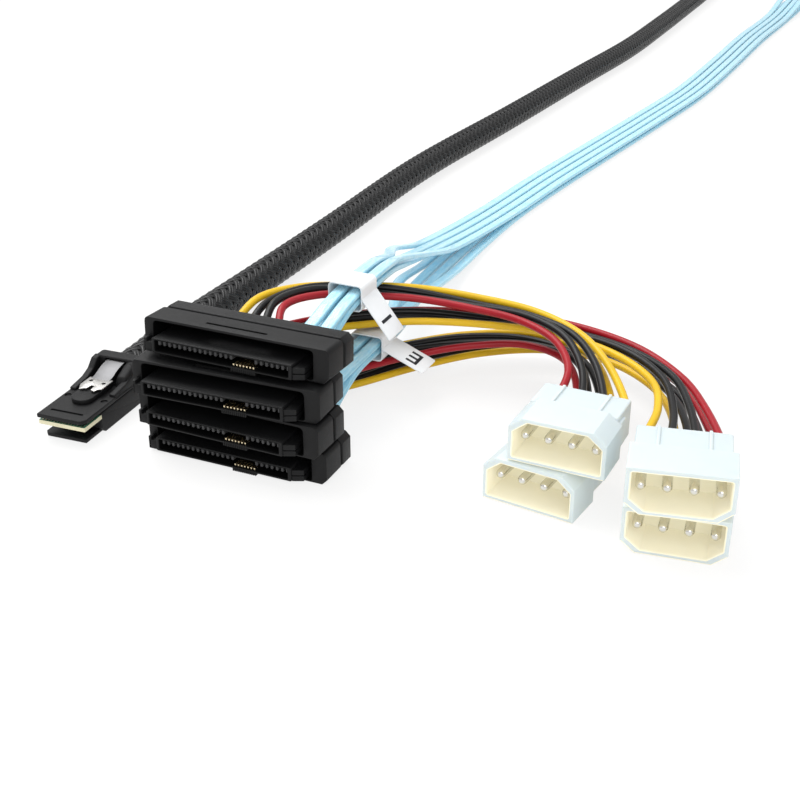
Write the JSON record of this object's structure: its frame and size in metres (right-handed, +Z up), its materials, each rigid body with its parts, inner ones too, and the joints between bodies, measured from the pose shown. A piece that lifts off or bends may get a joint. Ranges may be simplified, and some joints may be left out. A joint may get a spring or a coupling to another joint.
{
  "type": "mini sas breakout cable",
  "caption": "Breakout cable: a latched high-density plug on a braided trunk that fans out through flat ribbons to hooded drive connectors with power pigtails.",
  "frame": {"origin": "middle of the underside of the lowest drive connector's hood, on the surface that the cable lies on", "axes": "+Z up, +X along the lowest drive connector's width towards its signal end, its mating face looks along -Y"},
  "size_m": [0.157, 0.6883, 0.0325],
  "materials": {
    "drive_housing": "satin black moulding",
    "drive_cover": "satin black moulding",
    "plug_shell": "satin dark grey moulding",
    "card": "green circuit card with gilt fingers",
    "latch_steel": "bright spring steel",
    "nylon": "milky nylon",
    "pin_metal": "tin plated tube",
    "braid": "black braided sleeve",
    "ribbon": "pale blue film over silvery foil",
    "wire_yellow": "glossy insulation",
    "wire_red": "glossy insulation",
    "wire_black": "glossy insulation",
    "paper": "white film label"
  },
  "bodies": {
    "cable": {"drive_1_housing": "drive_housing", "drive_1_cover": "drive_cover", "drive_2_housing": "drive_housing", "drive_2_cover": "drive_cover", "drive_3_housing": "drive_housing", "drive_3_cover": "drive_cover", "drive_4_housing": "drive_housing", "drive_4_cover": "drive_cover", "plug_upper_shell": "plug_shell", "plug_lower_shell": "plug_shell", "plug_card": "card", "power_left_lower_housing": "nylon", "power_left_upper_housing": "nylon", "power_right_lower_housing": "nylon", "power_right_upper_housing": "nylon", "power_left_lower_pin_1": "pin_metal", "power_left_lower_pin_2": "pin_metal", "power_left_lower_pin_3": "pin_metal", "power_left_lower_pin_4": "pin_metal", "power_left_upper_pin_1": "pin_metal", "power_left_upper_pin_2": "pin_metal", "power_left_upper_pin_3": "pin_metal", "power_left_upper_pin_4": "pin_metal", "power_right_lower_pin_1": "pin_metal", "power_right_lower_pin_2": "pin_metal", "power_right_lower_pin_3": "pin_metal", "power_right_lower_pin_4": "pin_metal", "power_right_upper_pin_1": "pin_metal", "power_right_upper_pin_2": "pin_metal", "power_right_upper_pin_3": "pin_metal", "power_right_upper_pin_4": "pin_metal", "sleeve": "braid", "ribbon_1_left": "ribbon", "ribbon_1_right": "ribbon", "ribbon_2_left": "ribbon", "ribbon_2_right": "ribbon", "ribbon_3_left": "ribbon", "ribbon_3_right": "ribbon", "ribbon_4_left": "ribbon", "ribbon_4_right": "ribbon", "wire_1_1_red": "wire_red", "wire_1_2_black": "wire_black", "wire_1_3_black": "wire_black", "wire_1_4_yellow": "wire_yellow", "wire_2_1_yellow": "wire_yellow", "wire_2_2_black": "wire_black", "wire_2_3_black": "wire_black", "wire_2_4_red": "wire_red", "wire_3_1_red": "wire_red", "wire_3_2_black": "wire_black", "wire_3_3_black": "wire_black", "wire_3_4_yellow": "wire_yellow", "wire_4_1_yellow": "wire_yellow", "wire_4_2_black": "wire_black", "wire_4_3_black": "wire_black", "wire_4_4_red": "wire_red", "label_1": "paper", "label_2": "paper"},
    "latch": {"plug_latch": "latch_steel"}
  },
  "joints": [
    {"name": "latch_lift", "type": "hinge", "parent": "cable", "child": "latch", "pos_m": [-0.04065, 0.01436, 0.01025], "axis": [-0.9986, -0.0523, 0], "range_deg": [0, 3], "stiffness_Nm_per_rad": 0.002}
  ]
}
